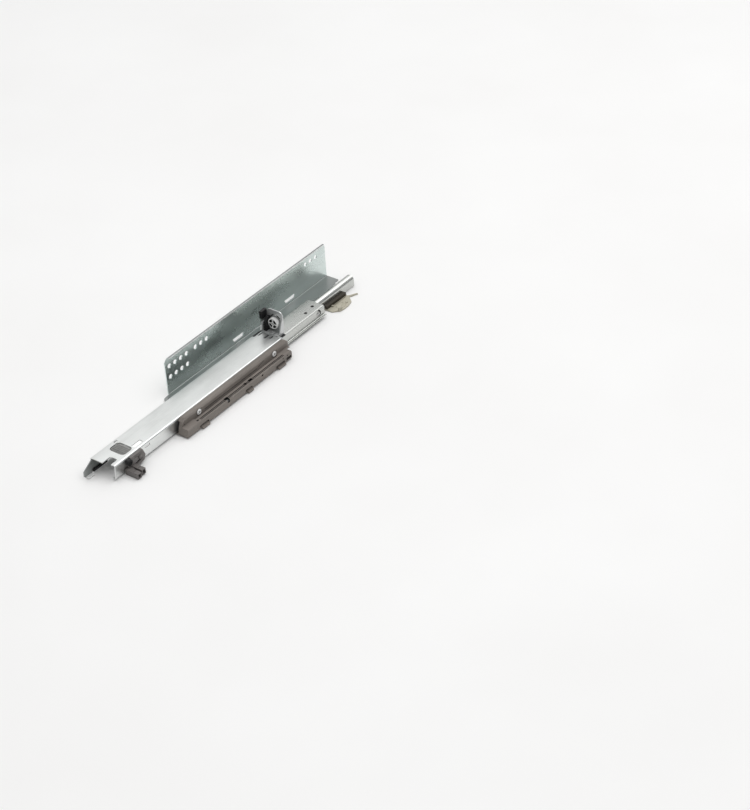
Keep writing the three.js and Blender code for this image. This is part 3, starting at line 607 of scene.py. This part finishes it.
def make_lever_pin():
    low, high = slide_box("lever_pin")
    profile = [
        (0, low.x),
        (1.5, low.x),
        (1.5, high.x - 0.9),
        (2.4, high.x - 0.9),
        (2.4, high.x - 0.5),
        (2.0, high.x - 0.1),
        (1.1, high.x),
        (0.7, high.x - 0.3),
        (0, high.x - 0.3),
    ]
    solid = turned(profile, "x", middle_of(low.y, high.y), middle_of(low.z, high.z))
    pin = to_object("lever_pin_look", solid)
    finish_piece(pin, "drawer_rail", "lever_plastic", LEVER, 0, nodes=("lever_pin",))


# ---------------------------------------------------------------- soft-close unit

LEDGE_Z = 10.8  # top of the housing's lower ledge
STEP_X = 67  # face of the housing's upper part
RIVET_STATIONS = (-22, 113.6)
RIVET_Z = 15
SEAT_DEPTH = 0.45
CLIPS = ((-30.5, 12.5), (51, 9), (107, 13))  # front end and length


def ledge_cuts(edge):
    """Grooves along the ledge, windows through it, notches in its edge and slots at the clips."""
    windows = [
        block(71, 74.4, y0, y1, LEDGE_Z - 3.4, LEDGE_Z + PROUD)
        for y0, y1 in ((15.6, 21), (51, 54), (59, 65))
    ]
    notches = [block(edge - 1.2, edge + PROUD, y, y + 1.6, 8.6, 9.9) for y in (117.2, 125)]
    grooves = [block(x, x + 0.75, -28, 122, LEDGE_Z - 1.7, LEDGE_Z) for x in (72.2, 74.1)]
    clip_slots = [
        block(edge - 2.6, edge + PROUD, start - 2.4, start + length + 0.3, 2.4, 5.4)
        for start, length in CLIPS
    ]
    return windows + notches + grooves + clip_slots


def upper_cuts(front):
    """Rivet seats, the open mouth at the front and the lines moulded into the upper face."""
    seats = [
        prism(circle(y, RIVET_Z, 4.2, 28), "x", STEP_X - SEAT_DEPTH, STEP_X + 2) for y in RIVET_STATIONS
    ]
    slanting_line = [(84, 14.0), (84.4, 13.4), (95, 16.2), (94.8, 16.8)]
    return seats + [
        block(58, 62.6, front - PROUD, front + 5, 3.2, 16.2),
        block(STEP_X + 0.3, STEP_X + 1.6, -32, 118, LEDGE_Z - 0.9, LEDGE_Z + 1.4),
        block(STEP_X - 0.4, STEP_X + PROUD, -12, 82, 12.3, 13.0),
        block(STEP_X - 0.9, STEP_X + PROUD, -47.6, -46.6, 11.6, 13.4),
        block(STEP_X - 0.8, STEP_X + PROUD, -17.3, -16.3, 16.4, 17.6),
        block(STEP_X - 0.8, STEP_X + PROUD, 118.2, 119.2, 16.4, 17.6),
        prism(slanting_line, "x", STEP_X - 0.35, STEP_X + PROUD),
        block(71.6, 73.4, 132.4, 133.9, LEDGE_Z - 1, LEDGE_Z + PROUD),
    ]


def make_damper_housing():
    low, high = slide_box("damper_housing")
    edge, front = high.x, low.y
    strip = block(73.1, 73.9, -28.6, 122.6, LEDGE_Z - 1.2, LEDGE_Z - 0.12)
    housing = refined(
        "damper_housing",
        "drawer_rail",
        "grey_plastic",
        [GREY, BLACK, LEVER],
        0.3,
        add=[strip],
        cut=ledge_cuts(edge) + upper_cuts(front),
    )

    def in_ledge(p, n):
        return STEP_X + 0.1 < p.x < 76 and LEDGE_Z - 2.2 < p.z < LEDGE_Z - 0.15 and p.y < 130

    def in_edge(p, n):
        return edge - 3 < p.x < edge - 0.15 and 2.5 < p.z < 10.3

    def in_upper_face(p, n):
        return STEP_X - 1 < p.x < STEP_X - 0.1 and 12 < p.z < 17.8

    def on_seat(p, n):
        return abs(p.x - STEP_X + SEAT_DEPTH) < 0.02 and n.x > 0.9

    def in_mouth(p, n):
        return p.x < 62.7 and p.y < front + 5.1 and 3.1 < p.z < 16.3

    # The bottoms and sides of grooves, windows and the mouth are painted black and the seats dark grey, as
    # painted shade.
    for index, test in ((1, in_ledge), (1, in_edge), (1, in_upper_face), (2, on_seat), (1, in_mouth)):
        paint(housing, index, test)
    refined("housing_floor", "drawer_rail", "grey_plastic", GREY, 0.2)


def make_rivet(node):
    """Tubular rivet: a flat tail, a shank, a round head and a hole painted in dark zinc as painted shade.
    """
    low, high = slide_box(node)
    y, z = middle_of(low.y, high.y), middle_of(low.z, high.z)
    head = (high.y - low.y) / 2
    profile = [
        (0, low.x),
        (2.6, low.x),
        (2.6, low.x + 0.9),
        (1.7, low.x + 0.9),
        (1.7, high.x - 1),
        (head, high.x - 1),
        (head, high.x - 0.62),
        (head - 0.25, high.x - 0.3),
        (head - 0.9, high.x - 0.06),
        (1.7, high.x),
        (1.25, high.x - 0.12),
        (1.0, high.x - 0.5),
        (0, high.x - 0.62),
    ]
    rivet = to_object(node + "_look", turned(profile, "x", y, z))
    finish_piece(rivet, "drawer_rail", "bright_zinc", [WHITE_ZINC, ZINC_DULL_SHADE], 0, nodes=(node,))
    # The hole is painted dark: painted shade.
    paint(rivet, 1, lambda p, n: math.hypot(p.y - y, p.z - z) < 1.3)


def make_damper():
    refined("damper_cylinder", "drawer_rail", "spring_steel", STEEL, 0.1)
    refined("damper_piston", "catch_slider", "bright_zinc", BRIGHT, 0.08)
    refined("catch_slider", "catch_slider", "black_plastic", BLACK, 0.2)


def make_closing_spring():
    """One end sits at the anchor, which rides on the drawer rail; the spring rides on no single body and
    its place is baked into its mesh.
    """
    spring = refined("closing_spring", None, "spring_steel", STEEL, 0, smooth=70)
    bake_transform(spring)
    refined("spring_anchor", "drawer_rail", "spring_steel", STEEL, 0.2)


# ---------------------------------------------------------------- rear hook and tilt adjuster

WHEEL_LOW, WHEEL_HIGH = slide_box("tilt_wheel")
WHEEL_X = middle_of(WHEEL_LOW.x, WHEEL_HIGH.x)
WHEEL_Z = middle_of(WHEEL_LOW.z, WHEEL_HIGH.z)
HOOK_REAR = slide_box("hook_bracket")[1].y


def from_axle(p):
    return math.hypot(p.x - WHEEL_X, p.z - WHEEL_Z)


def make_hook_bracket():
    """Steel hood with three arcs sunk in its front face around the wheel, painted black as painted shade,
    and slots in its foot.
    """
    face_cuts = [
        prism(ring_sector(WHEEL_X, WHEEL_Z, *arc), "y", HOOK_REAR - 2.4, HOOK_REAR - 0.5)
        for arc in ((7.9, 9.5, -38, 22), (7.9, 9.4, 42, 78), (8.2, 9.5, 108, 150))
    ]
    foot_cuts = [
        prism(rounded(41.3, 135, 42.6, 144, 0.5), "z", 19, 22),
        prism(rounded(46.6, 137, 47.8, 145.6, 0.5), "z", 19, 22),
    ]
    bracket = refined(
        "hook_bracket", "drawer_rail", "spring_steel", [STEEL, BLACK], 0.35, cut=face_cuts + foot_cuts
    )
    # The arcs' bottoms are painted black: painted shade.
    paint(bracket, 1, lambda p, n: HOOK_REAR - 1.3 < p.y < HOOK_REAR - 0.3 and from_axle(p) < 9.9)


def make_tilt_wheel():
    """Toothed wheel with four pockets painted black as painted shade, a screwdriver slot and a stub axle
    behind it.
    """
    teeth = 28
    front, rear = WHEEL_LOW.y, WHEEL_HIGH.y
    radius = (WHEEL_HIGH.z - WHEEL_LOW.z) / 2
    outline = []
    for tooth in range(teeth):
        for share, reach in ((0.0, radius - 0.55), (0.25, radius), (0.6, radius)):
            turn = 2 * math.pi * (tooth + share) / teeth
            outline.append((WHEEL_X + reach * math.cos(turn), WHEEL_Z + reach * math.sin(turn)))
    wheel = to_object("tilt_wheel_look", prism(outline, "y", front, front + 5))
    axle = [(0, front + 2), (1.9, front + 2), (1.9, rear - 0.3), (1.6, rear), (0, rear)]
    combine(wheel, [turned(axle, "y", WHEEL_X, WHEEL_Z)], "UNION")
    pockets = [
        prism(
            ring_sector(WHEEL_X, WHEEL_Z, 2.5, 5.6, 90 * i + 8, 90 * i + 72),
            "y",
            front - PROUD,
            front + 2.6,
        )
        for i in range(4)
    ]
    driver_slot = block(
        WHEEL_X - 1.7, WHEEL_X + 1.7, front - PROUD, front + 1.2, WHEEL_Z - 0.4, WHEEL_Z + 0.4
    )
    combine(wheel, pockets + [driver_slot], "DIFFERENCE")
    finish_piece(wheel, "tilt_wheel", "bright_zinc", [WHITE_ZINC, BLACK], 0.12, nodes=("tilt_wheel",))
    # The pockets are painted black: painted shade.
    paint(wheel, 1, lambda p, n: front + 0.1 < p.y < front + 2.7 and from_axle(p) < 5.8)


def make_hook_block():
    """Black tip with four grip lines across its outer face, on a grey stem."""
    grip_lines = [
        block(25.9, 27.2, HOOK_REAR - 9, HOOK_REAR - 2, 38 + 1.3 * i, 38.5 + 1.3 * i) for i in range(4)
    ]
    tip = refined(
        "hook_block", "drawer_rail", "black_plastic", [BLACK, ZINC_DULL_SHADE], 0.6, cut=grip_lines
    )
    stem_top = 35.4
    paint(tip, 1, lambda p, n: p.z < stem_top)


def make_adjuster():
    """Notched black slope in front of the hood, with a bright arm beside it."""
    side = [(138.9, 21.3), (148.9, 21.3), (148.9, 38), (144.5, 39), (139.6, 32.4)]
    adjuster = to_object("adjuster_body", prism(side, "x", 32.3, 36.0))
    notches = [block(31.8, 36.5, 138, 141.4 - 0.4 * i, 23.4 + 3.4 * i, 24.6 + 3.4 * i) for i in range(3)]
    combine(adjuster, notches, "DIFFERENCE")
    finish_piece(adjuster, "drawer_rail", "black_plastic", BLACK, 0.3)
    arm = [(136.6, 22.4), (137.6, 22.0), (142.6, 31.4), (142.6, 33.0), (141.6, 33.0)]
    extra("adjuster_arm", prism(arm, "x", 28.4, 30.0), "spring_steel", CUT_EDGE_HIGHLIGHT, 0.2)


# ---------------------------------------------------------------- floor, light and camera

def make_floor():
    g = Graph("floor_paper")
    g.link(
        g.ramp(g.noise(3, 3), (0.3, (0.90, 0.895, 0.89)), (0.7, (0.93, 0.928, 0.925))),
        g.shader.inputs["Base Color"],
    )
    g.shader.inputs["Roughness"].default_value = 0.9
    g.shader.inputs["Specular IOR Level"].default_value = 0.1
    bm = bmesh.new()
    half_width = 6
    bmesh.ops.create_grid(bm, x_segments=8, y_segments=8, size=half_width)
    mesh = bpy.data.meshes.new("floor")
    bm.to_mesh(mesh)
    bm.free()
    floor = bpy.data.objects.new("floor", mesh)
    clearance = 0.2 * MM
    floor.location.z = RAIL_LOW.z - clearance
    floor.data.materials.append(g.material)
    SCENE.collection.objects.link(floor)


def make_light():
    world = bpy.data.worlds.new("studio")
    SCENE.world = world
    world.use_nodes = True
    tree = world.node_tree
    background = tree.nodes["Background"]
    direction = tree.nodes.new("ShaderNodeTexCoord").outputs["Generated"]
    split = tree.nodes.new("ShaderNodeSeparateXYZ")
    ramp = tree.nodes.new("ShaderNodeValToRGB")
    tree.links.new(direction, split.inputs["Vector"])
    tree.links.new(split.outputs["Z"], ramp.inputs["Fac"])
    tree.links.new(ramp.outputs["Color"], background.inputs["Color"])
    first, last = ramp.color_ramp.elements
    first.position, first.color = 0.0, (0.40, 0.415, 0.42, 1)
    last.position, last.color = 1.0, (0.6, 0.6, 0.595, 1)
    brightest = ramp.color_ramp.elements.new(0.72)
    brightest.color = (0.97, 0.97, 0.965, 1)
    # The studio is bright behind the slide on its flange side and dim across from that, which
    # gives the sheet metal its contrast.
    flange_side = (-0.9, 1.0, 0.0)
    dim_to_bright = (-0.6, 1.1, 0.34, 1.0)
    side = tree.nodes.new("ShaderNodeVectorMath")
    side.operation = "DOT_PRODUCT"
    side.inputs[1].default_value = flange_side
    tree.links.new(direction, side.inputs[0])
    span = tree.nodes.new("ShaderNodeMapRange")
    for name, number in zip(RANGE_INPUTS, dim_to_bright):
        span.inputs[name].default_value = number
    tree.links.new(side.outputs["Value"], span.inputs["Value"])
    tree.links.new(span.outputs["Result"], background.inputs["Strength"])
    # name, place and width in metres, power in watts
    lamps = (
        ("soft_box", (0.3, 0.35, 3.0), 5.0, 92),
        ("edge_box", (0.52, 1.61, 1.98), 0.8, 3),
    )
    for name, place_at, size, energy in lamps:
        light = bpy.data.lights.new(name, "AREA")
        light.size = size
        light.energy = energy
        lamp = bpy.data.objects.new(name, light)
        lamp.location = place_at
        lamp.rotation_euler = (-Vector(place_at)).to_track_quat("-Z", "Y").to_euler()
        SCENE.collection.objects.link(lamp)


# Camera matched to the photograph: place in the slide frame, direction of view and roll.
CAMERA_PLACE = (1405.4, -1396.5, 1364.9)
CAMERA_FORWARD = (-0.5055, 0.6394, -0.5794)
CAMERA_ROLL = -3.73
FOCAL_LENGTH = 92.7


def make_camera():
    camera = bpy.data.cameras.new("camera")
    camera.lens = FOCAL_LENGTH
    camera.sensor_width = 36
    camera.clip_start = 0.05
    camera.clip_end = 30
    eye = bpy.data.objects.new("camera", camera)
    forward = Vector(CAMERA_FORWARD).normalized()
    level = forward.cross(Vector((0, 0, 1))).normalized()
    up = level.cross(forward)
    roll = math.radians(CAMERA_ROLL)
    right = level * math.cos(roll) + up * math.sin(roll)
    upward = up * math.cos(roll) - level * math.sin(roll)
    rotation = Matrix((right, upward, -forward)).transposed().to_4x4()
    eye.matrix_world = Matrix.Translation(at(*CAMERA_PLACE)) @ rotation
    SCENE.collection.objects.link(eye)
    SCENE.camera = eye


make_cabinet_rail()
make_middle_rail()
make_drawer_rail()
make_drawer_rail_details()
make_striker()
make_buffers()
make_hole_shades()
make_roller_cages()
make_front_catch()
make_release_lever()
make_lever_pin()
make_damper_housing()
make_rivet("housing_rivet_1")
make_rivet("housing_rivet_2")
make_damper()
make_closing_spring()
make_hook_bracket()
make_tilt_wheel()
make_hook_block()
make_adjuster()
make_floor()
make_light()
make_camera()
SCENE.view_settings.view_transform = "Standard"
